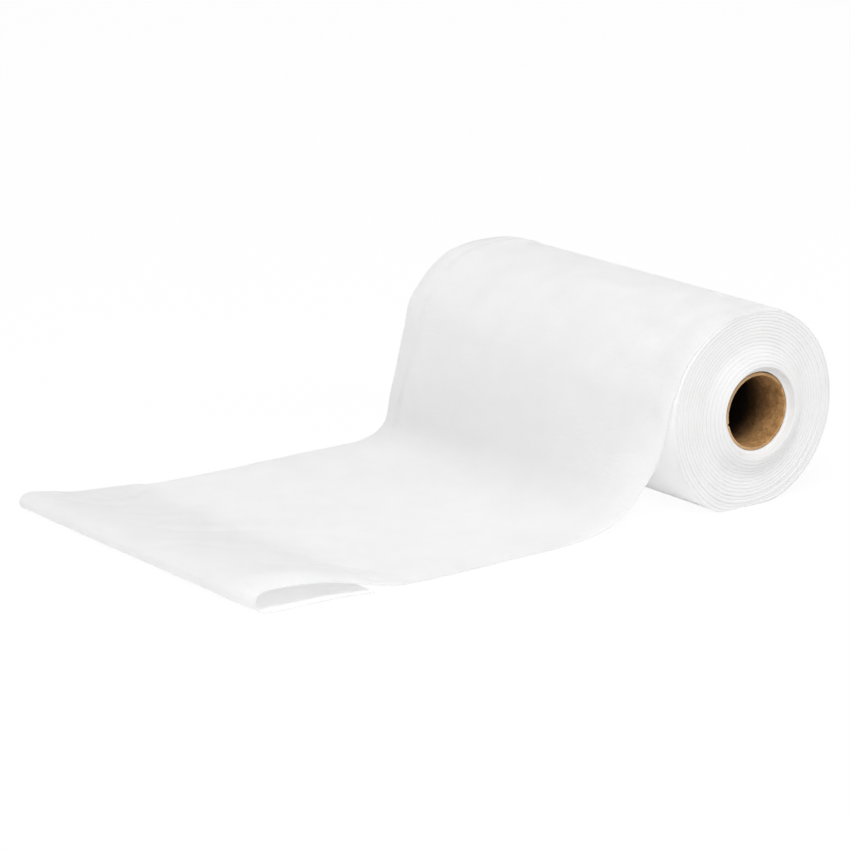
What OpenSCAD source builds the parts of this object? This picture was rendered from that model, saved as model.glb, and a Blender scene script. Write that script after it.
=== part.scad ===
// Paper towel roll, part used. A cardboard tube carries many turns of soft
// paper, and the free end of the paper, the tail, hangs off one side, runs
// along the ground and is folded under at its end.
// Millimetres. The origin is the middle of the tube's bore, Y runs along the
// bore, Z is up and the tail goes towards -X.

/* [Core] */
// Inside diameter of the cardboard tube, which a holder's rod goes through
core_bore_d = 38.5; // [30:0.5:46]
// Thickness of the tube's wall, two plies of board
core_wall = 1.5; // [1:0.1:2.4]
// Length of the tube
core_len = 225; // [180:1:280]
// Width of the open seam that shows in the outer ply at each end
seam_gap = 1.4; // [0.6:0.1:3]
// Depth of that seam, at most one ply
seam_depth = 0.6; // [0.2:0.1:0.8]
// Lean of the seam, which winds round the tube like a spiral
seam_lean = 35; // [20:1:50]
// Length of that seam that shows at each end
seam_len = 9; // [4:0.5:14]
// Where the seam meets the end, in degrees up from +X
seam_at = 187; // [0:1:359]

/* [Wound paper] */
// Width of the paper, edge to edge
web_w = 225; // [180:1:280]
// Outer diameter of the wound turns
roll_d = 109; // [90:1:130]
// How far the soft roll has settled, which leaves a flat under it
settle = 2.9; // [1:0.1:5]
// Number of rings that the edges of the turns are drawn as
rings = 13; // [6:1:16]
// Unevenness of neighbouring rings along the roll
ring_step = 0.35; // [0.1:0.05:0.6]
// How far the outer turns have slid along the roll past the innermost
telescope = 5.7; // [0:0.1:10]
// How far the edges of the innermost turns stand out of the tube's end
inner_out = 3.8; // [0:0.1:6]
// Length of the soft rounding at the outer turns' edges, along the roll
shoulder_len = 8; // [3:0.5:14]
// Depth of that rounding, towards the axis
shoulder_drop = 1.6; // [0.6:0.1:4]
// Looseness of the tube in the paper, on the radius
core_slack = 1; // [0.3:0.1:2]

/* [Tail] */
// Thickness of the free paper, all plies together
sheet_t = 0.55; // [0.4:0.05:1]
// Shift of the tail along the roll, against the outer turns
tail_shift = 0.4; // [0.2:0.1:3]
// Where the loose turn leaves the roll at the front edge, degrees up from +X
leave_near = 130; // [115:1:145]
// Where the loose turn leaves the roll at the back edge
leave_far = 105; // [95:1:145]
// Angle at which the loose turn comes off the roll at the front edge
tilt_near = 5; // [3:0.5:10]
// Angle at which it comes off the roll at the back edge
tilt_far = 8; // [3:0.5:10]
// How much wider than the roll the loose turn bows out at the front edge
bow_near = 5.5; // [2:0.5:12]
// How much wider the loose turn bows out at the back edge
bow_far = 2.5; // [2:0.5:14]
// Lean of the hanging stretch away from upright, degrees
hang_lean = 15; // [5:1:25]
// Radius of the bend on to the ground at the front edge
foot_r_near = 64; // [10:1:75]
// Radius of that bend at the back edge
foot_r_far = 12; // [6:1:75]
// Distance from the axis to the front of the fold, front edge
reach_near = 315; // [260:1:400]
// Distance from the axis to the front of the fold, back edge
reach_far = 312; // [260:1:400]
// Length of paper folded under the tail
under_len = 62; // [30:1:80]
// Height of the fold at the front edge
fold_h_near = 12.6; // [6:0.1:18]
// Height of the fold at the back edge
fold_h_far = 9.7; // [6:0.1:18]
// Run over which the tail lifts off the ground into the fold
rise_len = 82; // [50:1:120]
// Depth of the fold's rounded front at the front edge
loop_near = 8; // [4:0.5:14]
// Depth of the rounded front at the back edge
loop_far = 6; // [4:0.5:14]
// Waviness of the fold along its length
fold_wave = 0.7; // [0:0.1:2]

/* [Hidden] */
$fn = 72;
core_r = core_bore_d / 2 + core_wall;
roll_r = roll_d / 2;
axis_h = roll_r - settle;                 // height of the axis over the ground
hole_r = core_r + core_slack;             // the space that the turns leave
hole_shift = core_slack - 0.2;            // the tube sits against the lower right
slope_from = 0.42 * roll_r;               // the turns slid between these radii
slope_to = 0.68 * roll_r;
ground = -axis_h + sheet_t / 2;           // middle of a sheet that lies flat
across = 12;                              // strips across the tail's width
root_in = 1;                              // depth of the tail's root in the roll

function mix(a, b, v) = a + (b - a) * v;
function clamp01(u) = min(1, max(0, u));
function ease(u) = let (c = clamp01(u)) c * c * (3 - 2 * c);

// Position along the roll of the front edge of the turn at radius r
function turn_edge(r) = -web_w / 2 - inner_out
    + telescope * ease((r - slope_from) / (slope_to - slope_from));

// Small in and out of ring i, which never repeats from ring to ring
function ring_jog(i) = ring_step * sin(i * 137.5);

// The open seam in the outer ply, at one end of the tube
module seam(end) {
    rotate([0, -seam_at, 0])
        translate([core_r - seam_depth, end * core_len / 2, 0])
            rotate([-seam_lean, 0, 0])
                translate([0, -seam_len, -seam_gap / 2])
                    cube([2 * core_wall, 2 * seam_len, seam_gap]);
}

module core() {
    color([0.74, 0.62, 0.47])
    difference() {
        rotate([-90, 0, 0])
            difference() {
                cylinder(h = core_len, r = core_r, center = true);
                cylinder(h = core_len + 2, r = core_bore_d / 2, center = true);
            }
        for (end = [-1, 1]) seam(end);
    }
}

// Half section of the wound turns: a ring for each group of turns at both
// ends, and a soft shoulder outside the last
module turns_profile() {
    r_in = core_r - 1;
    r_out = roll_r - shoulder_drop;
    step = (r_out - r_in) / rings;
    edge = [for (i = [0 : rings - 1])
        turn_edge(r_in + (i + 0.5) * step) + ring_jog(i)];
    last = edge[rings - 1];
    front = [for (i = [0 : rings - 1]) for (k = [0, 1])
        [r_in + (i + k) * step, edge[i]]];
    shoulder = [for (a = [30 : 30 : 90])
        [r_out + shoulder_drop * sin(a), shoulder_len * (1 - cos(a))]];
    polygon(concat(
        front,
        [for (p = shoulder) [p[0], last + p[1]]],
        [for (k = [len(shoulder) - 1 : -1 : 0])
            [shoulder[k][0], last + web_w - shoulder[k][1]]],
        [for (k = [len(front) - 1 : -1 : 0]) front[k] + [0, web_w]]));
}

module wound_turns() {
    difference() {
        rotate([-90, 0, 0]) rotate_extrude() turns_profile();
        translate([-roll_r, -web_w, -roll_r - 5])
            cube([roll_d, 2 * web_w, 5 + settle]);
    }
}

// Middle line of the tail, as [x, z], at v = 0 the front edge to v = 1 the back
function tail_line(v) =
    let (at = mix(leave_near, leave_far, v),
         bow = roll_r + mix(bow_near, bow_far, v),
         a0 = 180 - at + mix(tilt_near, tilt_far, v),
         x0 = (roll_r - root_in) * cos(at),
         z0 = (roll_r - root_in) * sin(at),
         foot = mix(foot_r_near, foot_r_far, ease(v)),
         // where the loose turn ends and the sheet hangs straight
         x1 = x0 - bow * (cos(hang_lean) - cos(a0)),
         z1 = z0 - bow * (sin(a0) - sin(hang_lean)),
         hang = max(1, (z1 - ground - foot * (1 - sin(hang_lean))) / cos(hang_lean)),
         x2 = x1 - hang * sin(hang_lean),
         x3 = x2 - foot * cos(hang_lean),
         // the fold
         loop = mix(loop_near, loop_far, v),
         lift = mix(fold_h_near, fold_h_far, v) - sheet_t
             + fold_wave * sin(v * 500 + 40),
         x5 = -mix(reach_near, reach_far, v) + loop + sheet_t / 2
             - fold_wave * sin(v * 430),
         x4 = x5 + rise_len,
         late = mix(1.15, 1.8, v))          // how late the rise starts
    concat(
        [for (k = [0 : 8]) let (a = mix(a0, hang_lean, k / 8))
            [x0 - bow * (cos(a) - cos(a0)), z0 - bow * (sin(a0) - sin(a))]],
        [for (k = [1 : 2]) [mix(x1, x2, k / 3), mix(z1, z1 - hang * cos(hang_lean), k / 3)]],
        [for (k = [0 : 7]) let (a = mix(hang_lean, 90, k / 7))
            [x3 + foot * cos(a), ground + foot * (1 - sin(a))]],
        [for (k = [1 : 2]) [mix(x3, x4, k / 3), ground]],
        [for (k = [0 : 8]) let (u = k / 9)
            [mix(x4, x5, u), ground + lift * sin(90 * pow(u, late))]],
        [for (a = [0 : 18 : 180])
            [x5 - loop * sin(a), ground + lift * (1 + cos(a)) / 2]],
        [for (k = [1 : 3]) [x5 + under_len * k / 3, ground]]);

// Unit normal of line p at point i
function side(p, i) =
    let (a = p[max(0, i - 1)], b = p[min(len(p) - 1, i + 1)], d = b - a)
    [-d[1], d[0]] / norm(d);

// Closed section of the tail: one skin out and the other skin back
function tail_section(p) = let (n = len(p)) concat(
    [for (i = [0 : n - 1]) p[i] + side(p, i) * sheet_t / 2],
    [for (i = [n - 1 : -1 : 0]) p[i] - side(p, i) * sheet_t / 2]);

module tail() {
    y0 = turn_edge(roll_r) + tail_shift;
    cuts = [for (j = [0 : across]) tail_section(tail_line(j / across))];
    m = len(cuts[0]);
    pts = [for (j = [0 : across]) for (q = cuts[j])
        [q[0], y0 + web_w * j / across, q[1]]];
    skin = [for (j = [0 : across - 1]) for (k = [0 : m - 1]) for (h = [0, 1])
        let (k2 = (k + 1) % m, a = j * m + k, b = j * m + k2)
        h == 0 ? [a, b + m, b] : [a, a + m, b + m]];
    cap = [for (i = [0 : m / 2 - 2]) for (h = [0, 1])
        h == 0 ? [i, i + 1, m - 1 - i] : [i + 1, m - 2 - i, m - 1 - i]];
    far = across * m;
    polyhedron(points = pts, faces = concat(skin, cap,
        [for (t = cap) [t[0] + far, t[2] + far, t[1] + far]]));
}

module core_hole() {
    translate([-hole_shift * cos(45), 0, hole_shift * sin(45)])
        rotate([-90, 0, 0])
            cylinder(h = 2 * web_w, r = hole_r, center = true);
}

module paper_web() {
    color([0.95, 0.95, 0.95])
    difference() {
        union() {
            wound_turns();
            tail();
        }
        core_hole();
    }
}

core();
paper_web();
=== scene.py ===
# %% [markdown]
# # A part-used roll of soft paper
# The object is one cardboard tube and one long web of soft white paper. Most of
# the web is wound round the tube. Its free end comes off the top of the roll,
# hangs down one side, runs along the ground and is folded under at its end.
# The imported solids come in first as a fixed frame, in metres: Y along the tube,
# Z up, the free paper towards -X. Each piece made below takes the place of one
# of them, or of a part of one.

# %% Load the frame
import math

import bpy
import numpy as np
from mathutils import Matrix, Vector


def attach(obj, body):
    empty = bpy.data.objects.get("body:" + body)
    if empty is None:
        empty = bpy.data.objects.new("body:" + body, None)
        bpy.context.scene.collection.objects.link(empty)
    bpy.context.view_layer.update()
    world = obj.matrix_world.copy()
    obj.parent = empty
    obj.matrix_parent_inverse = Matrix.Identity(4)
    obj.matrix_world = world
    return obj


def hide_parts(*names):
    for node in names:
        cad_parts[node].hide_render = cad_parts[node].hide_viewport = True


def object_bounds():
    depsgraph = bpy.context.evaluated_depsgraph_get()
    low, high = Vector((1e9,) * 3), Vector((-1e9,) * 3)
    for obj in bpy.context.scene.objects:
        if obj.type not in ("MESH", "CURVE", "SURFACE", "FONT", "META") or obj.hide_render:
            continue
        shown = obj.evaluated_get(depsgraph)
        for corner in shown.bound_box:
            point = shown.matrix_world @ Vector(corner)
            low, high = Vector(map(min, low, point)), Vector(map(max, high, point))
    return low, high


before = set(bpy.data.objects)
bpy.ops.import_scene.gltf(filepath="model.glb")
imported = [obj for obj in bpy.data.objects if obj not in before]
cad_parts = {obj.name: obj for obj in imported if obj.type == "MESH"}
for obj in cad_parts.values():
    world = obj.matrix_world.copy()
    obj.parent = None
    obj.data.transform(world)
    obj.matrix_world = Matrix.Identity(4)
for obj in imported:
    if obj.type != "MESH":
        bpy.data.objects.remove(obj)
CAD_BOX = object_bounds()
MM = 0.001              # the frame is in metres, the sizes of the pieces below in millimetres
print("frame holds", sorted(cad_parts), "in", [round(float(x), 4) for p in CAD_BOX for x in p])

# %% [markdown]
# ## Small helpers
# Every material and every Geometry Nodes tree below is built with one function
# that adds a node, sets its settings and links its inputs. Colours are written
# as sRGB hex, the way a colour picker shows them, and turned to linear here.

# %% Helpers
def linear(hex_colour):
    """An sRGB hex colour as linear red, green, blue and alpha."""
    rgb = [int(hex_colour[i:i + 2], 16) / 255 for i in (1, 3, 5)]
    return [c / 12.92 if c < 0.04045 else ((c + 0.055) / 1.055) ** 2.4 for c in rgb] + [1.0]


def put(tree, kind, inputs=None, out=0, **settings):
    """Adds a node, sets it, fills or links its inputs and returns one output."""
    node = tree.nodes.new(kind)
    for key, value in settings.items():
        setattr(node, key, value)
    for key, value in (inputs or {}).items():
        socket = node.inputs[key]
        if isinstance(value, bpy.types.NodeSocket):
            tree.links.new(value, socket)
        else:
            socket.default_value = value
    return node.outputs[out] if len(node.outputs) else node


def mesh_piece(name, points, faces, smooth=True):
    """A piece from points in metres and faces, at the origin."""
    data = bpy.data.meshes.new(name)
    data.from_pydata([tuple(p) for p in points], [], faces)
    data.validate()
    data.polygons.foreach_set("use_smooth", [smooth] * len(data.polygons))
    piece = bpy.data.objects.new(name, data)
    bpy.context.collection.objects.link(piece)
    return piece


print("#f1f1f1 is", round(linear("#f1f1f1")[0], 3), "in linear light")

# %% [markdown]
# ## Camera, ground and light
# The photograph is a catalogue shot: a long lens, a little above the object and
# to its left, and white all round. The camera was worked out from the roll's
# own straight edges, so it is set by place and aim, not by eye.

# %% Camera
CAMERA_PLACE = (-1.2594, -1.4975, 0.4996)
LOOKS_AT = (-0.2064, -0.0990, 0.0236)
LENS, SENSOR = 156.7, 36        # mm

camera = bpy.data.objects.new("camera", bpy.data.cameras.new("camera"))
bpy.context.collection.objects.link(camera)
bpy.context.scene.camera = camera
camera.location = CAMERA_PLACE
aim = Vector(LOOKS_AT) - camera.location
camera.rotation_euler = aim.to_track_quat("-Z", "Y").to_euler()
camera.data.sensor_width = SENSOR
camera.data.lens = LENS
camera.data.clip_end = 50
print("camera is", round(aim.length, 3), "m from what it looks at")

# %% [markdown]
# The ground is white card. To the camera it is nearly white by itself and the
# lamps add the rest, so the background is white while the object's soft shadow
# stays. Every other ray meets plain diffuse card, which throws light back up
# under the roll and into the fold.

# %% Ground
GROUND_Z = float(CAD_BOX[0][2])
GROUND_HALF = 6         # m, half the side of the card
OWN_WHITE = 0.92        # share of the ground's look that doesn't depend on the lamps

card = bpy.data.materials.new("matt white card, the ground")
card.use_nodes = True
t = card.node_tree
t.nodes.clear()
diffuse = put(t, "ShaderNodeBsdfDiffuse", {"Color": linear("#f6f6f6")})
glow = put(t, "ShaderNodeEmission", {"Color": (1, 1, 1, 1), "Strength": 1.0})
lit = put(t, "ShaderNodeBsdfDiffuse", {"Color": (1, 1, 1, 1)})
to_camera = put(t, "ShaderNodeMixShader", {0: OWN_WHITE, 1: lit, 2: glow})
seen = put(t, "ShaderNodeLightPath", out="Is Camera Ray")
look = put(t, "ShaderNodeMixShader", {0: seen, 1: diffuse, 2: to_camera})
put(t, "ShaderNodeOutputMaterial", {"Surface": look})

corners = [(GROUND_HALF * i, GROUND_HALF * j, GROUND_Z) for i, j in ((-1, -1), (1, -1), (1, 1), (-1, 1))]
ground = mesh_piece("ground", corners, [(0, 1, 2, 3)], smooth=False)
ground.data.materials.append(card)
print("ground lies at z =", round(GROUND_Z, 4), "m")

# %% [markdown]
# The world is the white studio room. Where the camera sees it, also in a
# mirror or through glass, it is plain white. On the object it gives a weaker
# even light. Light that soaks through paper counts as passed through and as
# diffuse at once, which glass doesn't, so the two are told apart by a
# subtraction. Paper this white passes light on many times before it is used
# up, so the paths are allowed more bounces than usual.

# %% World
ROOM_LIGHT = 0.642      # strength of the room's light on the object

world = bpy.data.worlds.new("white studio")
bpy.context.scene.world = world
world.use_nodes = True
t = world.node_tree
t.nodes.clear()
room = put(t, "ShaderNodeBackground", {"Color": (1, 1, 1, 1), "Strength": ROOM_LIGHT})
white = put(t, "ShaderNodeBackground", {"Color": (1, 1, 1, 1), "Strength": 1.0})
ray = put(t, "ShaderNodeLightPath").node.outputs
shown = put(t, "ShaderNodeMath", {0: ray["Is Camera Ray"], 1: ray["Is Glossy Ray"]}, operation="MAXIMUM")
through_glass = put(t, "ShaderNodeMath", {0: ray["Is Transmission Ray"], 1: ray["Is Diffuse Ray"]},
                    operation="SUBTRACT")
shown = put(t, "ShaderNodeMath", {0: shown, 1: through_glass}, operation="MAXIMUM")
put(t, "ShaderNodeOutputWorld", {"Surface": put(t, "ShaderNodeMixShader", {0: shown, 1: room, 2: white})})

paths = bpy.context.scene.cycles
paths.max_bounces, paths.diffuse_bounces, paths.transmission_bounces = 32, 24, 32
print("light may bounce", paths.diffuse_bounces, "times off matt white")

# %% [markdown]
# One large soft lamp does most of the work. It stands high, in front and a
# little to the left, so the top of the roll is the palest part, its end is
# nearly as pale, the stretch that hangs comes out greyer, and light falls into
# the tube on to the lower right of its wall. A weaker lamp from the front right
# keeps the right side of the end from going dull.

# %% Lamps
def soft_lamp(name, place, look_at, size, watts):
    """A round area lamp at a place in metres, turned to what it lights."""
    lamp = bpy.data.objects.new(name, bpy.data.lights.new(name, "AREA"))
    bpy.context.collection.objects.link(lamp)
    lamp.location = place
    lamp.rotation_euler = (Vector(look_at) - Vector(place)).to_track_quat("-Z", "Y").to_euler()
    lamp.data.shape = "DISK"
    lamp.data.size = size
    lamp.data.energy = watts
    return lamp


lamps = [soft_lamp("lamp high front left", (-1.52, -1.93, 3.15), (-0.1, 0, 0), size=1.6, watts=70.0),
         soft_lamp("lamp front right", (1.6, -2.4, 1.2), (-0.05, -0.05, 0), size=1.4, watts=10.0)]
print("lamps:", ", ".join(f"{lamp.name} {lamp.data.energy:.0f} W" for lamp in lamps))

# %% [markdown]
# ## Sizes of the web
# Most of these sizes repeat those of the solids, in millimetres. The roll is
# soft: it is flat where it lies and, which the solids leave out, a little flat
# on top. The wound turns and the free paper settle into that one shape, the
# turns by the Smooth Maximum and Smooth Minimum operations of a Math node and
# the sheet by the same formula, written out here.

# %% Sizes and the settled shape
TUBE_R, BORE_R, TUBE_LEN = 20.75, 19.25, 225.0
WEB_W = 225.0
ROLL_R = 54.5
AXIS_H = 51.6           # height of the tube's axis over the ground
SLIDE = 5.7             # how far the outer turns have slid past the inner ones
SLIDE_FROM, SLIDE_TO = 0.42 * ROLL_R, 0.68 * ROLL_R     # radii between which they slid
INNER_OUT = 3.8         # how far the inner turns stand out of the tube's end
NEAR_Y = -WEB_W / 2 - INNER_OUT + SLIDE                 # front edge of the outer turns
SHEET_T = 0.5
LIFT = 0.06             # a hair of air between the sheet and the ground
TOP_H = 53.4            # height of the sheet's middle over the axis, at the top
SHOULDER_LEN, SHOULDER_DROP = 8.0, 0.8      # the soft rounding at the outer turns' edges
SAG, SAG_AT, SAG_WIDE = 1.2, math.radians(-115), math.radians(19)
LOW_SOFT, TOP_SOFT = 2.5, 5.0               # length of the round corners to the two flats


def soft_max(a, b, k):
    """The larger of a and b, with a round corner k long, as a Math node's Smooth Maximum has it."""
    h = np.clip(k - np.abs(a - b), 0, None) / k
    return np.maximum(a, b) + h ** 3 * k / 6


def settled(z, low, high):
    """Heights of a round roll after it has settled between ground and top."""
    z = soft_max(z, low, LOW_SOFT)
    return -soft_max(-z, -high, TOP_SOFT)


print("outer turns run from y =", round(NEAR_Y, 2), "to", round(NEAR_Y + WEB_W, 2), "mm")

# %% [markdown]
# ## The wound turns
# On the real roll one web, about 0.3 mm a turn, goes round the tube over a
# hundred times, and what shows at the ends is the edge of every turn. That is
# a rule, so Geometry Nodes make it: a Spiral curve is the path of the web, and
# a long thin section swept along it is the paper. The turns are drawn about
# seven times as thick as they are: the picture shows one line for every few
# turns, and the real ones are finer than its pixels.

# %% Named inputs of the tree that winds the web
WEB_STARTS, WEB_ENDS = -60, 265         # degrees round the tube from +X
CLEAR = 0.15            # air between the turns and what they lie against
POINTS_A_TURN = 160
TURN_SIZES = {
    "Hole radius": TUBE_R - 0.6,
    "Outer radius": 54.1,
    "Turns": 17.0 + (WEB_ENDS - WEB_STARTS) / 360,
    "Web width": WEB_W,
    "Tube radius": TUBE_R + CLEAR,
    "Loose at tube": 0.65,
    "Slide": SLIDE,
    "Slide from": SLIDE_FROM,
    "Slide to": SLIDE_TO,
    "Inner out": INNER_OUT,
    "Glued to": TUBE_R + 1.0,
    "Free from": TUBE_R + 4.2,
    "Unevenness": 0.4,
    "Shoulder length": SHOULDER_LEN,
    "Shoulder drop": SHOULDER_DROP,
    "Ground height": -AXIS_H + SHEET_T + CLEAR,
    "Top height": TOP_H - SHEET_T - CLEAR,
    "Sag": SAG,
    "Crumple": 0.8,
    "Seed": 3.0,
}


def tree_input(tree, name, kind, value=None):
    """Adds a named input to a tree and returns the identifier that a modifier sets it by."""
    entry = tree.interface.new_socket(name, in_out="INPUT", socket_type=kind)
    if value is not None:
        entry.default_value = value
    return entry.identifier


turns_tree = bpy.data.node_groups.new("wound turns", "GeometryNodeTree")
t = turns_tree
t.interface.new_socket("Geometry", in_out="OUTPUT", socket_type="NodeSocketGeometry")
ids = {name: tree_input(t, name, "NodeSocketFloat", value) for name, value in TURN_SIZES.items()}
ids["Points a turn"] = tree_input(t, "Points a turn", "NodeSocketInt")
ids["Cut edges"] = tree_input(t, "Cut edges", "NodeSocketMaterial")
ids["Face of the web"] = tree_input(t, "Face of the web", "NodeSocketMaterial")
given = put(t, "NodeGroupInput").node.outputs
print("tree takes", len(ids), "named inputs and winds", round(TURN_SIZES["Turns"], 2), "turns")

# %% Path and section of the web
FILL = 0.985            # share of its pitch that a drawn turn fills, so that a line shows between two
SECTION_POINTS = 32
BOXY = 2.05             # the section's circle is stretched this much, then cut off square
CROWDED = 3.5           # how closely the section's points crowd at the web's edges

depth = put(t, "ShaderNodeMath", {0: given["Outer radius"], 1: given["Hole radius"]}, operation="SUBTRACT")
pitch = put(t, "ShaderNodeMath", {0: depth, 1: given["Turns"]}, operation="DIVIDE")
thick = put(t, "ShaderNodeMath", {0: pitch, 1: FILL}, operation="MULTIPLY")
spiral = put(t, "GeometryNodeCurveSpiral", {
    "Resolution": given["Points a turn"], "Rotations": given["Turns"], "Start Radius": given["Hole radius"],
    "End Radius": given["Outer radius"], "Height": 0.0, "Reverse": True})
spiral = put(t, "GeometryNodeSetCurveNormal", {"Curve": spiral}, mode="Z_UP")
along = put(t, "GeometryNodeSplineParameter", out="Factor")
kept = put(t, "GeometryNodeCaptureAttribute").node
kept.capture_items.new("FLOAT", "along")
t.links.new(spiral, kept.inputs[0])
t.links.new(along, kept.inputs[1])
# the section: a circle squeezed flat, with more of its points near the web's edges
section = put(t, "GeometryNodeCurvePrimitiveCircle", {"Resolution": SECTION_POINTS, "Radius": 1.0})
ring = put(t, "ShaderNodeSeparateXYZ", {0: put(t, "GeometryNodeInputPosition")}).node.outputs
flat_x = put(t, "ShaderNodeMath", {0: ring["X"], 1: BOXY}, operation="MULTIPLY")
flat_x = put(t, "ShaderNodeClamp", {"Value": flat_x, "Min": -1.0, "Max": 1.0})
half_thick = put(t, "ShaderNodeMath", {0: thick, 1: 0.5}, operation="MULTIPLY")
flat_x = put(t, "ShaderNodeMath", {0: flat_x, 1: half_thick}, operation="MULTIPLY")
inside = put(t, "ShaderNodeMath", {0: ring["Y"]}, operation="ABSOLUTE")
inside = put(t, "ShaderNodeMath", {0: 1.0, 1: inside}, operation="SUBTRACT")
inside = put(t, "ShaderNodeMath", {0: inside, 1: CROWDED}, operation="POWER")
inside = put(t, "ShaderNodeMath", {0: 1.0, 1: inside}, operation="SUBTRACT")
half_web = put(t, "ShaderNodeMath", {0: given["Web width"], 1: 0.5}, operation="MULTIPLY")
inside = put(t, "ShaderNodeMath", {0: inside, 1: half_web}, operation="MULTIPLY")
side = put(t, "ShaderNodeMath", {0: ring["Y"]}, operation="SIGN")
long_y = put(t, "ShaderNodeMath", {0: inside, 1: side}, operation="MULTIPLY")
section = put(t, "GeometryNodeSetPosition", {
    "Geometry": section, "Position": put(t, "ShaderNodeCombineXYZ", {"X": flat_x, "Y": long_y})})
web = put(t, "GeometryNodeCurveToMesh", {
    "Curve": kept.outputs[0], "Profile Curve": section, "Fill Caps": True})
web = put(t, "GeometryNodeTransform", {
    "Geometry": web, "Rotation": (math.pi / 2, -math.radians(WEB_STARTS), 0)})
print("section has", SECTION_POINTS, "points, and tree", len(t.nodes), "nodes so far")

# %% [markdown]
# The same tree then does what handling did to this roll. The outer turns have
# slid along the tube past the inner ones, all but the innermost, which are
# glued to the tube. Each turn's edge sits a little in or out, and the end is
# crumpled in two places. The edges of the outer turns are rounded over, and
# they flare a little where the sheet has come away from them. All of this
# moves points that the sweep has made, by their radius and angle round the
# tube, so it works for any number of turns.

# %% Radius and angle of each point
LOOSE_AT = 2.0          # radians from +X, where the first turn stands off the tube

place = put(t, "GeometryNodeInputPosition")
axes = put(t, "ShaderNodeSeparateXYZ", {0: place}).node.outputs
flat_place = put(t, "ShaderNodeCombineXYZ", {"X": axes["X"], "Z": axes["Z"]})
radius = put(t, "ShaderNodeVectorMath", {0: flat_place}, out="Value", operation="LENGTH")
turn_at = put(t, "ShaderNodeMath", {0: axes["Z"], 1: axes["X"]}, operation="ARCTAN2")
# the spiral starts inside the tube's face, so this least radius makes its start a wedge
off_tube = put(t, "ShaderNodeMath", {0: turn_at, 1: LOOSE_AT}, operation="SUBTRACT")
off_tube = put(t, "ShaderNodeMath", {0: off_tube}, operation="COSINE")
off_tube = put(t, "ShaderNodeMath", {0: off_tube, 1: 0.0}, operation="MAXIMUM")
off_tube = put(t, "ShaderNodeMath", {0: off_tube, 1: given["Loose at tube"], 2: given["Tube radius"]},
               operation="MULTIPLY_ADD")
radius = put(t, "ShaderNodeMath", {0: radius, 1: off_tube}, operation="MAXIMUM")
print("least radius is", round(TURN_SIZES["Tube radius"], 2), "mm")

# %% Slide the turns along the tube
JOGS_A_TURN = 0.83      # how often the edge moves in or out in one turn

slid_far = put(t, "ShaderNodeMath", {0: given["Slide"], 1: given["Inner out"]}, operation="SUBTRACT")
inner_out = put(t, "ShaderNodeMath", {0: given["Inner out"], 1: -1.0}, operation="MULTIPLY")
slid = put(t, "ShaderNodeMapRange", {
    "Value": radius, "From Min": given["Slide from"], "From Max": given["Slide to"],
    "To Min": inner_out, "To Max": slid_far}, interpolation_type="SMOOTHSTEP")
# but the innermost turns are glued to the tube and stay level with its end
glued = put(t, "ShaderNodeMapRange", {
    "Value": radius, "From Min": given["Glued to"], "From Max": given["Free from"],
    "To Min": given["Inner out"], "To Max": 0.0}, interpolation_type="SMOOTHSTEP")
slid = put(t, "ShaderNodeMath", {0: slid, 1: glued}, operation="ADD")
# each turn's edge sits a little in or out, changing slowly along the web
along_turns = put(t, "ShaderNodeMath", {0: kept.outputs[1], 1: given["Turns"]}, operation="MULTIPLY")
along_turns = put(t, "ShaderNodeMath", {0: along_turns, 1: JOGS_A_TURN, 2: given["Seed"]},
                  operation="MULTIPLY_ADD")
jog = put(t, "ShaderNodeTexNoise", {"W": along_turns, "Scale": 1.0, "Detail": 0.0}, noise_dimensions="1D")
jog = put(t, "ShaderNodeMath", {0: jog, 1: 0.5}, operation="SUBTRACT")
jog = put(t, "ShaderNodeMath", {0: jog, 1: given["Unevenness"]}, operation="MULTIPLY")
moved_y = put(t, "ShaderNodeMath", {0: slid, 1: jog}, operation="ADD")
print("outer turns slide", SLIDE, "mm past the inner ones")

# %% Crumple two places
# Each is a soft spot in angle, in radians, and radius, in mm:
# [angle, radius, reach in angle, reach in radius]
CRUMPLED = [(0.62, 40.0, 0.34, 9.0), (-2.25, 43.0, 0.36, 8.0)]
DENTS_A_MM = 0.16       # a dent about every 6 mm

spots = 0.0
for spot_angle, spot_radius, angle_reach, radius_reach in CRUMPLED:
    off_a = put(t, "ShaderNodeMath", {0: turn_at, 1: spot_angle}, operation="SUBTRACT")
    off_a = put(t, "ShaderNodeMath", {0: off_a, 1: angle_reach}, operation="DIVIDE")
    off_r = put(t, "ShaderNodeMath", {0: radius, 1: spot_radius}, operation="SUBTRACT")
    off_r = put(t, "ShaderNodeMath", {0: off_r, 1: radius_reach}, operation="DIVIDE")
    off = put(t, "ShaderNodeVectorMath", {0: put(t, "ShaderNodeCombineXYZ", {"X": off_a, "Y": off_r})},
              out="Value", operation="LENGTH")
    spot = put(t, "ShaderNodeMapRange", {
        "Value": off, "From Min": 0.3, "From Max": 1.7, "To Min": 1.0, "To Max": 0.0},
        interpolation_type="SMOOTHSTEP")
    spots = put(t, "ShaderNodeMath", {0: spots, 1: spot}, operation="ADD")
dents = put(t, "ShaderNodeTexNoise", {
    "Vector": flat_place, "Scale": DENTS_A_MM, "Detail": 2.0, "Roughness": 0.6}, out="Color")
dents = put(t, "ShaderNodeVectorMath", {0: dents, 1: (0.5, 0.5, 0.5)}, operation="SUBTRACT")
strength = put(t, "ShaderNodeMath", {0: spots, 1: given["Crumple"]}, operation="MULTIPLY")
dents = put(t, "ShaderNodeVectorMath", {0: dents, "Scale": strength}, operation="SCALE")
dent_axes = put(t, "ShaderNodeSeparateXYZ", {0: dents}).node.outputs
moved_y = put(t, "ShaderNodeMath", {0: dent_axes["Y"], 1: moved_y}, operation="ADD")
print("end is crumpled in", len(CRUMPLED), "places")

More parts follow.
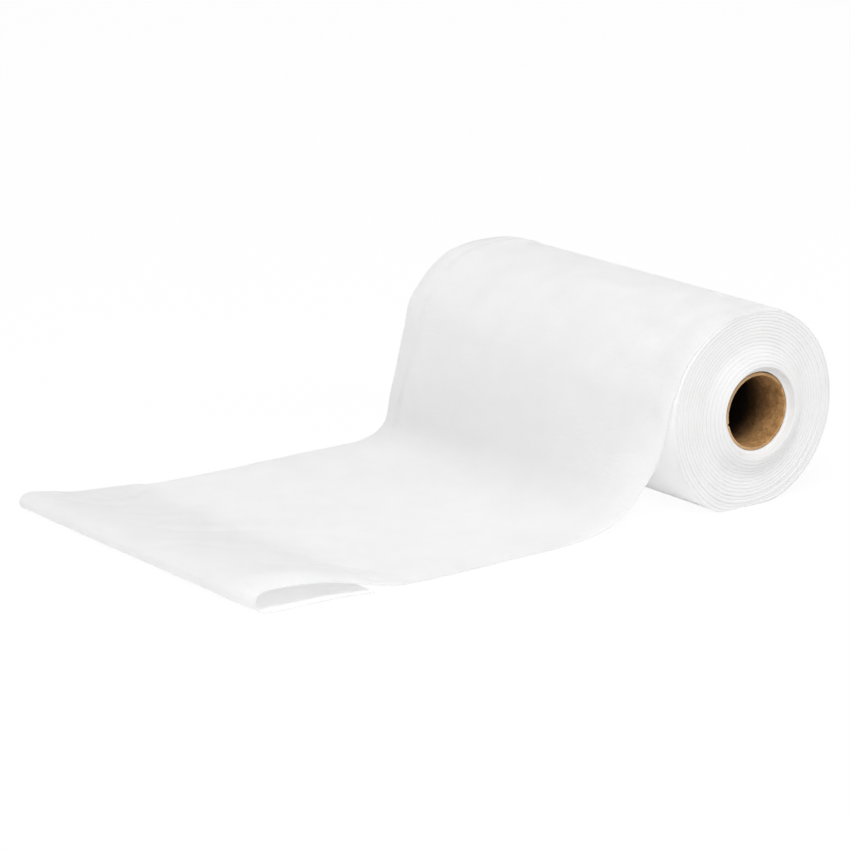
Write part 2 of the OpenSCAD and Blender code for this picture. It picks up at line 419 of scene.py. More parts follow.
# %% Round or flare the outer edges
ROUNDED_FROM = 43.0     # mm, the radius from which the edges are rounded over
BARE_AT = math.radians(195)     # the side that the sheet has come away from
FLARE = -0.4            # there the rounding turns into a flare, this share of it

from_middle = put(t, "ShaderNodeMath", {0: axes["Y"]}, operation="ABSOLUTE")
from_end = put(t, "ShaderNodeMath", {0: half_web, 1: from_middle}, operation="SUBTRACT")
near_end = put(t, "ShaderNodeMapRange", {
    "Value": from_end, "From Min": 0.0, "From Max": given["Shoulder length"], "To Min": 1.0, "To Max": 0.0})
near_end = put(t, "ShaderNodeMath", {0: near_end, 1: 2.0}, operation="POWER")
outer = put(t, "ShaderNodeMapRange", {
    "Value": radius, "From Min": ROUNDED_FROM, "From Max": given["Outer radius"], "To Min": 0.0,
    "To Max": given["Shoulder drop"]}, interpolation_type="SMOOTHSTEP")
drop = put(t, "ShaderNodeMath", {0: near_end, 1: outer}, operation="MULTIPLY")
bare_side = put(t, "ShaderNodeMath", {0: turn_at, 1: BARE_AT}, operation="SUBTRACT")
bare_side = put(t, "ShaderNodeMath", {0: bare_side}, operation="COSINE")
rounding = put(t, "ShaderNodeMapRange", {
    "Value": bare_side, "From Min": 0.25, "From Max": 0.75, "To Min": 1.0, "To Max": FLARE},
    interpolation_type="SMOOTHSTEP")
drop = put(t, "ShaderNodeMath", {0: drop, 1: rounding}, operation="MULTIPLY")
new_radius = put(t, "ShaderNodeMath", {0: radius, 1: drop}, operation="SUBTRACT")
new_radius = put(t, "ShaderNodeMath", {0: new_radius, 1: dent_axes["X"]}, operation="ADD")
print("edges drop up to", SHOULDER_DROP, "mm over the last", SHOULDER_LEN)

# %% [markdown]
# Last, gravity: the loose outer turns sag on to the ground at the lower left,
# and the whole roll settles under its own weight between the ground and its
# own flat top. The sheet, which is a piece of its own, starts under the roll,
# so there the turns stop above it.

# %% Sag and settle
SAG_FROM = 34.0         # mm, the radius from which the turns are loose enough to sag
NO_SHEET, ON_SHEET = -13.0, -6.0        # x up to which no sheet lies under the turns, and from which it does
SHEET_ROOM = SHEET_T + 0.1              # how much lower the turns reach where no sheet lies under them

sag = put(t, "ShaderNodeMath", {0: turn_at, 1: SAG_AT}, operation="SUBTRACT")
sag = put(t, "ShaderNodeMath", {0: sag, 1: SAG_WIDE}, operation="DIVIDE")
sag = put(t, "ShaderNodeMath", {0: sag, 1: 2.0}, operation="POWER")
sag = put(t, "ShaderNodeMath", {0: sag, 1: -1.0}, operation="MULTIPLY")
sag = put(t, "ShaderNodeMath", {0: sag}, operation="EXPONENT")
loose = put(t, "ShaderNodeMapRange", {
    "Value": radius, "From Min": SAG_FROM, "From Max": given["Outer radius"], "To Min": 0.0,
    "To Max": given["Sag"]}, interpolation_type="SMOOTHSTEP")
new_radius = put(t, "ShaderNodeMath", {0: sag, 1: loose, 2: new_radius}, operation="MULTIPLY_ADD")

x = put(t, "ShaderNodeMath", {0: turn_at}, operation="COSINE")
x = put(t, "ShaderNodeMath", {0: x, 1: new_radius}, operation="MULTIPLY")
z = put(t, "ShaderNodeMath", {0: turn_at}, operation="SINE")
z = put(t, "ShaderNodeMath", {0: z, 1: new_radius}, operation="MULTIPLY")
lower = put(t, "ShaderNodeMapRange", {
    "Value": x, "From Min": NO_SHEET, "From Max": ON_SHEET, "To Min": SHEET_ROOM, "To Max": 0.0},
    interpolation_type="SMOOTHSTEP")
low = put(t, "ShaderNodeMath", {0: given["Ground height"], 1: lower}, operation="SUBTRACT")
z = put(t, "ShaderNodeMath", {0: z, 1: low, 2: LOW_SOFT}, operation="SMOOTH_MAX")
z = put(t, "ShaderNodeMath", {0: z, 1: given["Top height"], 2: TOP_SOFT}, operation="SMOOTH_MIN")
y = put(t, "ShaderNodeMath", {0: axes["Y"], 1: moved_y}, operation="ADD")
settle_range = [round(TURN_SIZES[name], 2) for name in ("Ground height", "Top height")]
print("turns settle between", settle_range, "mm from the axis")

# %% Finish the tree
EDGE_FACING = 0.4       # a face that looks along the tube more than this is a cut edge

web = put(t, "GeometryNodeSetPosition", {
    "Geometry": web, "Position": put(t, "ShaderNodeCombineXYZ", {"X": x, "Y": y, "Z": z})})
web = put(t, "GeometryNodeTransform", {"Geometry": web, "Scale": (MM, MM, MM)})
web = put(t, "GeometryNodeSetShadeSmooth", {0: web})
web = put(t, "GeometryNodeRealizeInstances", {0: web})
web = put(t, "GeometryNodeSetMaterial", {"Geometry": web, "Material": given["Cut edges"]})
facing = put(t, "ShaderNodeSeparateXYZ", {0: put(t, "GeometryNodeInputNormal")}).node.outputs["Y"]
facing = put(t, "ShaderNodeMath", {0: facing}, operation="ABSOLUTE")
on_face = put(t, "ShaderNodeMath", {0: facing, 1: EDGE_FACING}, operation="LESS_THAN")
web = put(t, "GeometryNodeSetMaterial", {
    "Geometry": web, "Selection": on_face, "Material": given["Face of the web"]})
put(t, "NodeGroupOutput", {0: web})
print("tree has", len(t.nodes), "nodes")

# %% [markdown]
# ## The paper
# The web is creped tissue: wet pulp pressed to a sheet and scraped off a hot
# drum, which leaves fine ridges across it and a faint cloud of fibres. It is
# matt white, with next to no shine. A single loose layer lets light through,
# which is why the inside of the fold isn't dark: a Translucent share gives
# that, and it has to be large because light crosses two faces, one into the
# paper and one out of it. Turns wound tight pass none on. The cut edges are
# drawn a little greyer than the faces, as painted shade: between them lie gaps
# finer than the picture, and less light comes back out of those.

# %% Creped tissue
# What the eye gets from each: the cloud a faint mottle, the fibres a soft
# grain, the ridges the crepe. Real ridges are about 0.6 mm apart, and these
# are drawn twice as coarse, so that they show.
CLOUD_MM, FIBRE_MM, RIDGE_MM = 14.29, 1.111, 1.2
WAVE_UNIT = 0.314       # a Wave texture of scale 1 has a ridge every 0.314
LOOSE_LAYER = 0.74      # share of the light on one loose layer that may pass through it


def creped_tissue(name, shades, follows_web, lets_through):
    """Tissue between two shades, with crepe ridges where it has a web map to follow."""
    paper = bpy.data.materials.new(name)
    paper.use_nodes = True
    m = paper.node_tree
    shader = m.nodes["Principled BSDF"]
    shader.inputs["Roughness"].default_value = 0.95
    shader.inputs["Specular IOR Level"].default_value = 0.2
    where = put(m, "ShaderNodeTexCoord", out="Object")
    cloud = put(m, "ShaderNodeTexNoise", {
        "Vector": where, "Scale": 1 / (CLOUD_MM * MM), "Detail": 4.0, "Roughness": 0.55})
    fibre = put(m, "ShaderNodeTexNoise", {
        "Vector": where, "Scale": 1 / (FIBRE_MM * MM), "Detail": 3.0, "Roughness": 0.7})
    tone = put(m, "ShaderNodeMapRange", {"Value": cloud, "From Min": 0.3, "From Max": 0.7})
    colour = put(m, "ShaderNodeMix", {0: tone, 6: linear(shades[0]), 7: linear(shades[1])},
                 out=2, data_type="RGBA")
    m.links.new(colour, shader.inputs["Base Color"])
    height = put(m, "ShaderNodeMath", {0: fibre, 1: cloud}, operation="ADD")
    if follows_web:
        on_web = put(m, "ShaderNodeUVMap", uv_map="web")
        ridges = put(m, "ShaderNodeTexWave", {
            "Vector": on_web, "Scale": WAVE_UNIT / (RIDGE_MM * MM), "Distortion": 6.0,
            "Detail": 2.0, "Detail Scale": 1.5}, out="Fac", bands_direction="Y")
        height = put(m, "ShaderNodeMath", {0: ridges, 1: 0.6, 2: height}, operation="MULTIPLY_ADD")
    bump = put(m, "ShaderNodeBump", {"Height": height, "Strength": 0.25, "Distance": 0.2 * MM})
    m.links.new(bump, shader.inputs["Normal"])
    if lets_through:
        through = put(m, "ShaderNodeBsdfTranslucent", {"Color": colour, "Normal": bump})
        both = put(m, "ShaderNodeMixShader", {0: lets_through, 1: shader.outputs[0], 2: through})
        m.links.new(both, m.nodes["Material Output"].inputs["Surface"])
    return paper


# the cut edges' two shades are greyed as painted shade for the fine gaps between the turns
edge_paper_painted_shade = creped_tissue("creped tissue, cut edges of the turns", ("#e5e5e5", "#e9e9e9"), False, 0)
rolled_paper = creped_tissue("creped tissue, many layers wound tight", ("#f1f1f1", "#f4f4f4"), False, 0)
sheet_paper = creped_tissue("creped tissue, one loose layer", ("#fcfcfc", "#fefefe"), True, LOOSE_LAYER)
print("crepe ridges are drawn", RIDGE_MM, "mm apart")

# %% [markdown]
# The tree is put on an object with nothing in it, its inputs are set by their
# identifiers, and the result is kept as a plain mesh, which is the piece.

# %% Wind the turns
winder = bpy.data.objects.new("winder", bpy.data.meshes.new("winder"))
bpy.context.collection.objects.link(winder)
wind = winder.modifiers.new("wind the web", "NODES")
wind.node_group = turns_tree
for name, value in TURN_SIZES.items():
    wind[ids[name]] = value
wind[ids["Points a turn"]] = POINTS_A_TURN
wind[ids["Cut edges"]] = edge_paper_painted_shade
wind[ids["Face of the web"]] = rolled_paper
wound = bpy.data.meshes.new_from_object(winder.evaluated_get(bpy.context.evaluated_depsgraph_get()))
bpy.data.objects.remove(winder)
wound_turns = bpy.data.objects.new("wound_turns", wound)
bpy.context.collection.objects.link(wound_turns)
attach(wound_turns, "root")
print("wound turns:", len(wound.polygons), "faces,", [round(x / MM, 1) for x in wound_turns.dimensions], "mm")

# %% [markdown]
# ## The free paper
# The last turn and the free end are one sheet: it starts under the roll, goes
# once over the top and then comes away. A sheet like this could be a cloth
# simulation, but it has taken a set on the roll and barely moves under its own
# weight, so it is drawn from its two edges. Each edge is a smooth line through
# some thirty places, and the sheet is stretched between them.

# %% The two edges
# Places on the sheet's middle from where it leaves the roll to its end, in mm:
# [x, how far the edge strays from its straight line along Y, z]
FRONT_EDGE = [
    (-31.6, 0, 44.1), (-39.8, 0, 38.9), (-47.8, 0, 30.6), (-53.1, 0, 19.8), (-57.1, 0, 11.0),
    (-59.5, 0, 0.5), (-62.8, 0, -9.5), (-66.8, 0, -18.8), (-73.4, 0, -27.8), (-82.5, 0, -37.3),
    (-93.5, 0, -44.4), (-108, 0, -48.6), (-130, 0.2, -50.7), (-160, 0.5, -51.35), (-200, -1.2, -51.35),
    (-226, -0.8, -51.1), (-236, -0.3, -50.0), (-246, 0.4, -48.0), (-257, 1.2, -45.1), (-268, 2.0, -42.8),
    (-280, 2.4, -41.0), (-292, 2.5, -39.9), (-303, 2.5, -39.4), (-310.4, 2.5, -39.9), (-314.3, 2.5, -42.3),
    (-314.8, 2.5, -45.9), (-312.6, 2.4, -49.2), (-306.5, 2.2, -50.9), (-297, 2.0, -51.35),
    (-270, 1.8, -51.35), (-247, -1.6, -51.35)]
BACK_EDGE = [
    (-14.0, 0, 52.0), (-28.4, 0, 49.4), (-40.3, 0, 42.6), (-49.8, 0, 33.0), (-57.1, 0, 22.9),
    (-59.9, 0, 10.5), (-63.2, 0, -3), (-67.1, 0, -17), (-70.7, 0, -30), (-73.4, 0, -41),
    (-78.7, 0, -46.7), (-86, 0, -49.6), (-98.5, 0, -51.2), (-135, -0.6, -51.35), (-190, -2.7, -51.35),
    (-214, -2.6, -51.35), (-228, -2.2, -51.2), (-240, -2.0, -49.8), (-254, -2.0, -48.7), (-268, -2.0, -48.0),
    (-281, -2.0, -46.7), (-293, -2.0, -44.3), (-302, -2.0, -42.7), (-308.6, -2.0, -42.8),
    (-311.7, -2.0, -45.0), (-312.1, -2.0, -47.5), (-310.4, -2.0, -49.8), (-305.3, -2.0, -51.15),
    (-297, -2.0, -51.35), (-270, -2.0, -51.35), (-246, -2.0, -51.35)]
FOLD_FRONT = slice(22, 28)      # the places of both lists that lie round the front of the fold
FOLD_BOW = 2.6                  # four times how far its middle bows out past a straight line
START_ANGLE, FRONT_LEAVES, BACK_LEAVES = -95.0, 125.0, 105.0    # degrees round the roll from +X
LAST_TURN_R = 54.0
TURN_GROWS = 1.5                # mm that the last turn's radius grows in a full turn
LOWEST = -AXIS_H + SHEET_T / 2 + LIFT       # height of a sheet that lies on the ground
LINE_STEPS = 14                 # steps between two places of a line


def on_roll(degrees, drop):
    """Middle of the last turn over the roll, which grows as it winds and is lower by drop at its edges."""
    r = LAST_TURN_R - drop + TURN_GROWS * (degrees - START_ANGLE) / 360
    a = np.radians(degrees)
    return np.stack([r * np.cos(a), 0 * a, settled(r * np.sin(a), LOWEST, TOP_H)], -1)


def smooth_line(places, steps=LINE_STEPS):
    """A smooth line that goes through all the places, with the stage of each point, 1 for each place."""
    p = np.asarray(places, float)
    p = np.vstack([2 * p[0] - p[1], p, 2 * p[-1] - p[-2]])
    u = np.linspace(0, 1, steps, endpoint=False)[:, None]
    out = []
    for a, b, c, d in zip(p, p[1:], p[2:], p[3:]):
        square = (2 * a - 5 * b + 4 * c - d) * u ** 2
        cube = (3 * b - a - 3 * c + d) * u ** 3
        out.append(0.5 * (2 * b + (c - a) * u + square + cube))
    line = np.vstack(out + [p[-2:-1]])
    return line, np.linspace(0, len(p) - 3, len(line))


print("edges go through", len(FRONT_EDGE), "and", len(BACK_EDGE), "places")

# %% [markdown]
# The sheet is laid out in strips across its width. Each strip starts as the
# last turn over the roll, and goes on as a line between the two edges, a share
# of each. Along the free part its points are spaced evenly, so that creases
# come out alike everywhere. The stage of a point says how far along the list
# of places it is, and the pushes below are placed by it.

# %% Lay the sheet out between them
ACROSS, ON_ROLL, FREE = 128, 84, 290        # strips, rows over the roll and rows of the free part
COARSE_TO, COARSE_ROWS = 20.0, 30           # up to this angle the rows may be further apart
LEAD_IN = 8             # degrees back over the roll to one more place, so that the line leaves smoothly
LIP_DROP, LIP_WIDE = 0.25, 2.5              # the front cut edge lies a little lower
BACK_SHARE = 0.5        # the back edge is rounded over half as much
ROWS_A_STAGE = 12


def edge_drop(v):
    """How much lower the last turn lies near its edges, v of the way from front to back."""
    front, back = v * WEB_W, (1 - v) * WEB_W
    drop = SHOULDER_DROP * max(0, 1 - front / SHOULDER_LEN) ** 2
    drop += LIP_DROP * math.exp(-(front / LIP_WIDE) ** 2)
    return drop + BACK_SHARE * SHOULDER_DROP * max(0, 1 - back / SHOULDER_LEN) ** 2


across = np.linspace(0, 1, ACROSS + 1)
rows, stages = [], []
for v in across:
    leaves = FRONT_LEAVES + (BACK_LEAVES - FRONT_LEAVES) * v
    degrees = np.concatenate([np.linspace(START_ANGLE, COARSE_TO, COARSE_ROWS, endpoint=False),
                              np.linspace(COARSE_TO, leaves, ON_ROLL - COARSE_ROWS, endpoint=False)])
    turn = on_roll(degrees, edge_drop(v))
    edge = np.asarray(FRONT_EDGE) * (1 - v) + np.asarray(BACK_EDGE) * v
    edge[FOLD_FRONT, 0] -= FOLD_BOW * v * (1 - v)
    edge[0] = on_roll(leaves, edge_drop(v))
    line, stage = smooth_line(np.vstack([on_roll(leaves - LEAD_IN, edge_drop(v)), edge]))
    line, stage = line[LINE_STEPS:], stage[LINE_STEPS:] - 1
    run = np.concatenate([[0], np.cumsum(np.linalg.norm(np.diff(line, axis=0), axis=1))])
    at = np.linspace(0, run[-1], FREE)
    free = np.stack([np.interp(at, run, line[:, k]) for k in range(3)], -1)
    rows.append(np.vstack([turn, free]) + [0, NEAR_Y + WEB_W * v, 0])
    on_turn = np.linspace(-ON_ROLL, 0, ON_ROLL, endpoint=False) / ROWS_A_STAGE
    stages.append(np.concatenate([on_turn, np.interp(at, run, stage)]))
sheet = np.stack(rows, 1)                       # along, across, (x, y, z)
stage = np.stack(stages, 1)
step = np.linalg.norm(np.diff(sheet, axis=0), axis=2)
length = np.vstack([np.zeros(ACROSS + 1), np.cumsum(step, axis=0)])
print("sheet is", round(float(length[-1].mean()), 1), "mm long,", WEB_W, "wide; free part",
      round(float((length[-1] - length[ON_ROLL]).mean()), 1))

# %% [markdown]
# A smooth sheet looks like plastic. What makes it soft paper is what it has
# been through: the edges of the roll are rounded over, a ridge runs round near
# its back end where the loose turn has slipped, the mouth of the fold droops,
# and a few creases run along the free part. Each is a small push along the
# sheet's own normal, placed by its stage and by how far across it is.

# %% Helpers for pushes
WAVES = 26              # how many waves add up to a rumple
mm_across = np.broadcast_to(across * WEB_W, stage.shape)
from_front, from_back = mm_across, WEB_W - mm_across


def bell(x, middle, width):
    """1 at the middle and falling softly to 0 on both sides."""
    return np.exp(-((x - middle) / width) ** 2)


def between(x, low, high, soft):
    """1 from low to high and 0 outside, with soft ends."""
    return 1 / (1 + np.exp(-(x - low) / soft)) - 1 / (1 + np.exp(-(x - high) / soft))


def crease(places, width, height):
    """A soft crease through places on the sheet, each (x, mm across)."""
    line = smooth_line(places, 8)[0]
    away = np.full_like(stage, 1e9)
    for (x0, a0), (x1, a1) in zip(line, line[1:]):
        size = (x1 - x0) ** 2 + (a1 - a0) ** 2
        u = np.clip(((sheet[..., 0] - x0) * (x1 - x0) + (mm_across - a0) * (a1 - a0)) / size, 0, 1)
        off_x, off_a = sheet[..., 0] - x0 - u * (x1 - x0), mm_across - a0 - u * (a1 - a0)
        away = np.minimum(away, np.hypot(off_x, off_a))
    ends = np.minimum(np.hypot(sheet[..., 0] - line[0][0], mm_across - line[0][1]),
                      np.hypot(sheet[..., 0] - line[-1][0], mm_across - line[-1][1]))
    return height * bell(away, 0, width) * np.clip(ends / (3 * width), 0.25, 1)


def rumple(size_along, size_across, seed):
    """Smooth uneven lumps of sizes in mm, the same every time, about -1 to 1."""
    rng = np.random.default_rng(seed)
    out = np.zeros_like(stage)
    for _ in range(WAVES):
        fa, fb = rng.normal(0, 1 / size_along), rng.normal(0, 1 / size_across)
        out += np.cos(fa * length + fb * mm_across + rng.uniform(0, 2 * math.pi))
    return out / math.sqrt(WAVES)


print("stages run from", round(float(stage.min()), 1), "to", round(float(stage.max()), 1))

# %% Pushes on the roll and where the sheet comes away
push = np.zeros(stage.shape)

# the ridge near the back end, and the slack band beyond it
wander = 1.3 * np.sin(length / 31) + 0.7 * np.sin(length / 13 + 1)
ridge_on = between(stage, -3.2, 5.5, 1.1)
push += ridge_on * (0.8 * bell(from_back, 15.5 + wander, 3.4) - 0.3 * bell(from_back, 9.5 + wander, 3.0)
                    + 0.25 * bell(from_back, 5.0 + wander, 2.8))
push += between(stage, -1, 9, 0.8) * bell(from_back, 0, 9) * 0.35 * rumple(9, 30, 5)
# small puckers where the front edge comes away from the roll
push += between(stage, -1.5, 7.5, 0.8) * bell(from_front, 17, 8) * 0.3 * rumple(7, 6, 8)
push -= between(stage, -2.5, 6.0, 0.8) * 0.3 * bell(from_front, 12.5, 2.2)
print("pushes on the roll run from", round(float(push.min()), 2), "to", round(float(push.max()), 2), "mm")

# %% [markdown]
# The free part shows shallow creases, most of them towards its folded end.
# Each is a line through a few places, read off the photograph and taken back
# to the sheet, with a width and a height: up where it catches the light and
# down where it doesn't. Soft lumps between them keep the paper from looking
# ironed, and the fold itself is a little battered.

# %% Creases of the free part
# [places as (x, mm across), width, height], in mm
CREASES = [
    (((-300, 145), (-282, 128), (-262, 118), (-236, 118), (-214, 112)), 2.6, -0.55),
    (((-292, 150), (-276, 134), (-255, 128), (-228, 130)), 5.0, 0.5),
    (((-300, 96), (-276, 82), (-252, 68), (-236, 66)), 2.6, -0.5),
    (((-296, 104), (-270, 92), (-246, 80)), 4.5, 0.4),
    (((-300, 226), (-283, 208), (-262, 203), (-242, 213), (-232, 226)), 2.2, -0.8),
    (((-297, 219), (-280, 200), (-258, 194), (-236, 204)), 4.5, 0.7),
    (((-304, 210), (-284, 192), (-268, 186)), 2.4, -0.5),
    (((-285, 172), (-262, 164), (-240, 174), (-222, 182)), 3.5, -0.4),
    (((-276, 160), (-255, 152), (-236, 158)), 4.0, 0.4),
    (((-240, 44), (-226, 24), (-212, 6)), 2.4, -0.35),
    (((-120, 220), (-150, 205), (-185, 200)), 6.0, 0.4)]
MOUTH_CREASE = ((-290, 46), (-276, 42), (-262, 35), (-254, 32), (-249, 24), (-244, 15), (-239, 9), (-231, 0))

top_side = between(stage, 11, 23.5, 0.7)
for places, width, height in CREASES:
    push += crease(places, width, height) * top_side
push += top_side * 0.12 * rumple(20, 11, 2)
push += between(stage, 3, 12, 0.8) * 0.16 * rumple(18, 12, 7)
# low at the back the hanging part is knocked in
push += between(stage, 6.3, 9.4, 0.4) * (0.9 * bell(from_back, 14, 4) - 0.8 * bell(from_back, 7, 3))
# behind the mouth of the fold a crease runs to the front edge, and the strip
# in front of it rounds over towards the edge
push += crease(MOUTH_CREASE, 2.2, -1.0) * between(stage, 14, 21.5, 0.7)
push += between(stage, 16.5, 24.0, 0.8) * (1.6 * bell(from_front, 18, 13) - 0.6 * bell(from_front, 0, 5))
# the fold itself
push += between(stage, 21.5, 26.5, 0.6) * 0.22 * rumple(8, 8, 11)
push += between(stage, 21, 25, 0.5) * (0.3 * bell(from_front, 101, 3) - 0.35 * bell(from_front, 95, 3)
                                       + 0.2 * bell(from_front, 88, 4))
print("pushes run from", round(float(push.min()), 2), "to", round(float(push.max()), 2), "mm")

# %% [markdown]
# The pushed sheet is kept off the ground, and its cut edges are made a little
# uneven. It carries a map of its own flat shape in metres, which the crepe
# ridges follow. A Solidify modifier gives it its thickness, with the greyer
# paper of the cut edges on its rim. It is applied here, because only then can
# the rim's corners be marked sharp: shaded smooth, they would show as dark
# lines along the sheet.

# %% Push the sheet and keep it off the ground
OFF_HANG = 8            # past this stage the sheet comes down to the ground softly
tangent = np.gradient(sheet, axis=0)
sideways = np.gradient(sheet, axis=1)
normal = np.cross(sideways, tangent)
normal /= np.linalg.norm(normal, axis=2, keepdims=True)
placed = sheet + normal * push[..., None]
lowest = np.full_like(stage, LOWEST)
kept_up = np.maximum(placed[..., 2], lowest)
placed[..., 2] = np.where(stage > OFF_HANG, soft_max(placed[..., 2], lowest, 0.1), kept_up)
# no cut edge is quite straight
placed[..., 1] += bell(from_front, 0, 12) * 0.25 * rumple(9, 900, 21)
placed[..., 1] -= bell(from_back, 0, 12) * 0.3 * rumple(9, 900, 22)
print("sheet's middle is at least", round(float(placed[..., 2].min()) + AXIS_H, 2), "mm over the ground")

# %% Make the sheet
CRISP = math.radians(50)        # edges that turn more than this are shaded sharp

n_along, n_across = stage.shape
index = np.arange(n_along * n_across).reshape(n_along, n_across)
faces = np.stack([index[:-1, :-1], index[:-1, 1:], index[1:, 1:], index[1:, :-1]], -1).reshape(-1, 4)
free_sheet = mesh_piece("last_turn_and_free_sheet", placed.reshape(-1, 3) * MM, faces.tolist())
web_uv = free_sheet.data.uv_layers.new(name="web")
corner = np.empty(len(free_sheet.data.loops), int)
free_sheet.data.loops.foreach_get("vertex_index", corner)
uv = np.stack([mm_across.ravel(), length.ravel()], -1) * MM
web_uv.data.foreach_set("uv", uv[corner].ravel())
free_sheet.data.materials.append(sheet_paper)
# the sheet's rim takes the same greyer paper, with its painted gap shade
free_sheet.data.materials.append(edge_paper_painted_shade)
plies = free_sheet.modifiers.new("plies", "SOLIDIFY")
plies.thickness = SHEET_T * MM
plies.offset = 0
plies.use_even_offset = False
plies.material_offset_rim = 1           # the rim takes the second material
thick_sheet = bpy.data.meshes.new_from_object(free_sheet.evaluated_get(bpy.context.evaluated_depsgraph_get()))
free_sheet.modifiers.clear()
free_sheet.data = thick_sheet
thick_sheet.set_sharp_from_angle(angle=CRISP)
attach(free_sheet, "root")
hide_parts("paper_web")
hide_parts("paper_web")

# %% [markdown]
# ## The cardboard tube
# Two strips of grey-brown board are wound in a spiral round a mandrel and
# glued, then sawn to length. So the ends are a little furry, the two plies show
# as two rings, and the seam runs round the bore like a thread. The tube is one
# closed grid: the section of its wall, with its ends rounded a little where the
# saw went through, turned round the axis. Its seam and fibres are in the
# material.

# %% The tube
ROUND = 256             # points round the tube
BORE_ROWS, OUTSIDE_ROWS = 46, 16
PLY = (TUBE_R + BORE_R) / 2     # radius of the glue line between the two plies
HALF = TUBE_LEN / 2
SAWN = 0.35             # the two walls are straight up to this far from a sawn end
# the sawn end from the bore outwards: [radius, how far in from the end]
SAWN_END = [(BORE_R + 0.12, 0.08), (BORE_R + SAWN, 0.0), (PLY - 0.12, 0.02), (PLY, 0.22), (PLY + 0.12, 0.02),
            (TUBE_R - SAWN, 0.0), (TUBE_R - 0.12, 0.08)]
FUR, FURRY = 0.16, 0.6          # how uneven the sawn end is, and how far in from the end
NICK_AT, NICK_DEEP, NICK_WIDE = math.radians(193), 1.6, 0.7     # the inner ply's seam at the end

profile = [(BORE_R, y) for y in np.linspace(HALF - SAWN, -HALF + SAWN, BORE_ROWS)]
profile += [(r, -HALF + deep) for r, deep in SAWN_END]
profile += [(TUBE_R, y) for y in np.linspace(-HALF + SAWN, HALF - SAWN, OUTSIDE_ROWS)]
profile += [(r, HALF - deep) for r, deep in reversed(SAWN_END)]
rng = np.random.default_rng(4)
turn = np.linspace(0, 2 * math.pi, ROUND, endpoint=False)
# uneven heights round the end, each evened out with its two neighbours
fur = np.convolve(np.tile(rng.normal(0, FUR, ROUND), 3), np.ones(3) / 3, "same")[ROUND:2 * ROUND]
points = []
for r, y in profile:
    at_end = max(0.0, 1 - (HALF - abs(y)) / FURRY)
    for k, a in enumerate(turn):
        nick = bell((a - NICK_AT) * TUBE_R, 0, NICK_WIDE) * (r < PLY)
        out = y + math.copysign(1, -y) * (at_end * (abs(fur[k]) + NICK_DEEP * nick))
        points.append((r * math.cos(a) * MM, out * MM, r * math.sin(a) * MM))
faces = []
for i in range(len(profile)):
    j = (i + 1) % len(profile)
    for k in range(ROUND):
        after = (k + 1) % ROUND
        faces.append((i * ROUND + k, j * ROUND + k, j * ROUND + after, i * ROUND + after))
tube = mesh_piece("cardboard_tube", points, faces)
tube.data.set_sharp_from_angle(angle=CRISP)
print("tube:", len(tube.data.polygons), "faces")

# %% [markdown]
# Grey-brown tube board is recycled fibre: matt, mottled at a few millimetres,
# flecked with darker and paler fibres, and darker along the glued seam. The
# seam's place comes from the angle round the tube and the way along it. The
# sawn end is paler, most of all at the left, where the photograph shows it as
# a ring; its fade towards the right, where it merges into the wall, is painted
# shade. Deep inside, the photograph goes to black, darker than this even light
# would leave it, so part of that darkness is painted shade in the colour.

# %% Tube board: mottle, flecks and seam
MOTTLE_MM, FLECK_MM, SPECK_MM = 4.545, 0.769, 1.429
SEAM_LEAD = 0.095       # m along the tube in which the seam goes round once
SEAM_SHIFT = 0.51       # how far the seam is turned round the tube, in turns

board = bpy.data.materials.new("recycled tube board, spirally wound")
board.use_nodes = True
m = board.node_tree
shader = m.nodes["Principled BSDF"]
shader.inputs["Roughness"].default_value = 0.85
shader.inputs["Specular IOR Level"].default_value = 0.3
where = put(m, "ShaderNodeTexCoord", out="Object")
mottle = put(m, "ShaderNodeTexNoise", {
    "Vector": where, "Scale": 1 / (MOTTLE_MM * MM), "Detail": 4.0, "Roughness": 0.65})
fleck = put(m, "ShaderNodeTexNoise", {
    "Vector": where, "Scale": 1 / (FLECK_MM * MM), "Detail": 2.0, "Roughness": 0.7})
axes = put(m, "ShaderNodeSeparateXYZ", {0: where}).node.outputs
angle = put(m, "ShaderNodeMath", {0: axes["Z"], 1: axes["X"]}, operation="ARCTAN2")
angle = put(m, "ShaderNodeMath", {0: angle, 1: 1 / (2 * math.pi)}, operation="MULTIPLY")
phase = put(m, "ShaderNodeMath", {0: axes["Y"], 1: 1 / SEAM_LEAD, 2: angle}, operation="MULTIPLY_ADD")
phase = put(m, "ShaderNodeMath", {0: phase, 1: SEAM_SHIFT}, operation="ADD")
phase = put(m, "ShaderNodeMath", {0: phase}, operation="FRACT")
phase = put(m, "ShaderNodeMath", {0: phase, 1: 0.5}, operation="SUBTRACT")
phase = put(m, "ShaderNodeMath", {0: phase}, operation="ABSOLUTE")
seam = put(m, "ShaderNodeMapRange", {
    "Value": phase, "From Min": 0.002, "From Max": 0.009, "To Min": 1.0, "To Max": 0.0},
    interpolation_type="SMOOTHSTEP")
tone = put(m, "ShaderNodeMath", {0: fleck, 1: 0.45, 2: mottle}, operation="MULTIPLY_ADD")
tone = put(m, "ShaderNodeMapRange", {"Value": tone, "From Min": 0.5, "From Max": 0.95})
colour = put(m, "ShaderNodeMix", {0: tone, 6: linear("#8f673d"), 7: linear("#cfa26b")},
             out=2, data_type="RGBA")
seam_shade = put(m, "ShaderNodeMath", {0: seam, 1: 0.3}, operation="MULTIPLY")
colour = put(m, "ShaderNodeMix", {0: seam_shade, 6: colour, 7: linear("#6d5136")}, out=2, data_type="RGBA")
specks = put(m, "ShaderNodeTexNoise", {
    "Vector": where, "Scale": 1 / (SPECK_MM * MM), "Detail": 1.0, "Roughness": 0.5})
specks = put(m, "ShaderNodeMapRange", {
    "Value": specks, "From Min": 0.62, "From Max": 0.72, "To Min": 0.0, "To Max": 0.5})
colour = put(m, "ShaderNodeMix", {0: specks, 6: colour, 7: linear("#5f452c")}, out=2, data_type="RGBA")
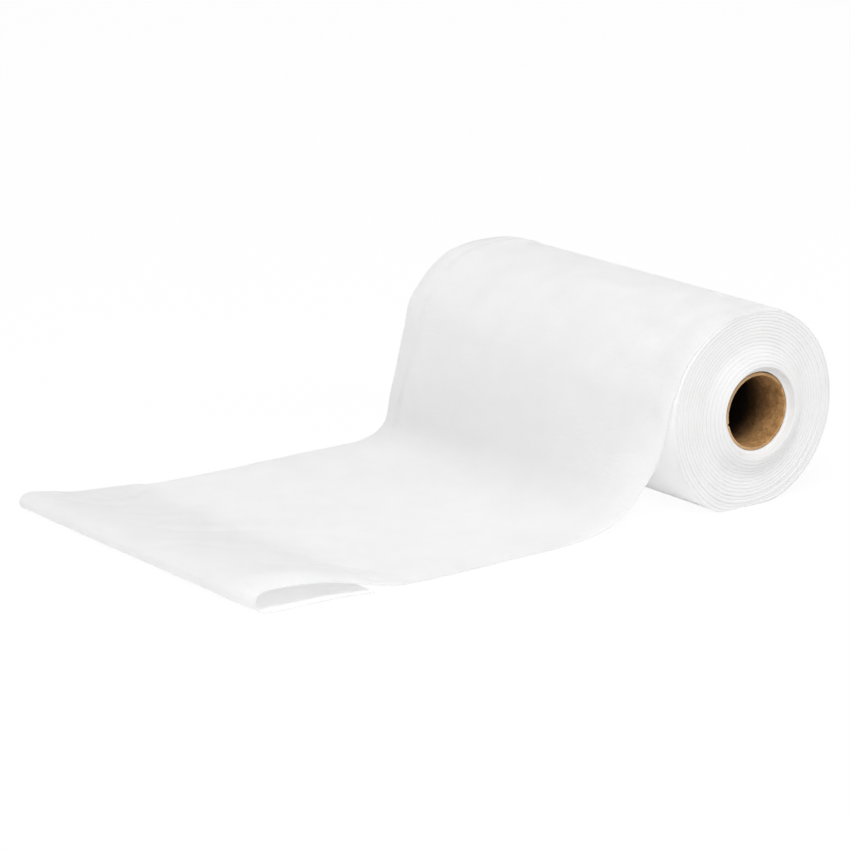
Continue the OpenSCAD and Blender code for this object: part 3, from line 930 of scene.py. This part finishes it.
print("seam goes round", round(TUBE_LEN * MM / SEAM_LEAD, 2), "times")

# %% Tube board: painted shade deep in the bore, and the pale sawn end
# the bore's colour carries painted shade: full up to DARK_TO from the middle, none past LIT_FROM
DARK_TO, LIT_FROM = 0.081, 0.107        # m from the middle: dark inside the first, lit past the second
SAWN_FROM = TUBE_LEN / 2 * MM - 0.6 * MM
PALER = 0.42            # how far the sawn end goes towards its pale colour, at the left

from_mid = put(m, "ShaderNodeMath", {0: axes["Y"]}, operation="ABSOLUTE")
# how much painted shade the bore's colour takes at each depth
deep = put(m, "ShaderNodeMapRange", {
    "Value": from_mid, "From Min": DARK_TO, "From Max": LIT_FROM, "To Min": 0.98, "To Max": 0.0},
    interpolation_type="SMOOTHSTEP")
sawn = put(m, "ShaderNodeMath", {0: from_mid, 1: SAWN_FROM}, operation="GREATER_THAN")
# painted shade: the sawn end's own paleness fades out towards the right, which is drawn as lying in less
# light
paler = put(m, "ShaderNodeMapRange", {
    "Value": axes["X"], "From Min": -TUBE_R * MM, "From Max": 0.8 * TUBE_R * MM,
    "To Min": PALER, "To Max": 0.0})
sawn = put(m, "ShaderNodeMath", {0: sawn, 1: paler}, operation="MULTIPLY")
# painted shade: deep in the bore the colour goes nearly to black, where little light reaches
colour = put(m, "ShaderNodeMix", {0: deep, 6: colour, 7: linear("#0c0603")}, out=2, data_type="RGBA")
# the sawn end's pale colour, with painted shade taking it away at the right
colour = put(m, "ShaderNodeMix", {0: sawn, 6: colour, 7: linear("#ecd2ac")}, out=2, data_type="RGBA")
m.links.new(colour, shader.inputs["Base Color"])
height = put(m, "ShaderNodeMath", {0: fleck, 1: 0.5, 2: mottle}, operation="MULTIPLY_ADD")
height = put(m, "ShaderNodeMath", {0: height, 1: seam_shade}, operation="SUBTRACT")
bump = put(m, "ShaderNodeBump", {"Height": height, "Strength": 0.5, "Distance": 0.3 * MM})
m.links.new(bump, shader.inputs["Normal"])
tube.data.materials.append(board)
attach(tube, "root")
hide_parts("core")
print("bore is dark from", round(HALF - DARK_TO / MM, 1), "mm in")

# %% [markdown]
# The colours are shown as they are, with no film look. The box of the
# imported solids is printed.

# %% Finish
bpy.context.scene.view_settings.view_transform = "Standard"
bpy.context.view_layer.update()
print("solids", [[round(float(x), 4) for x in p] for p in CAD_BOX])
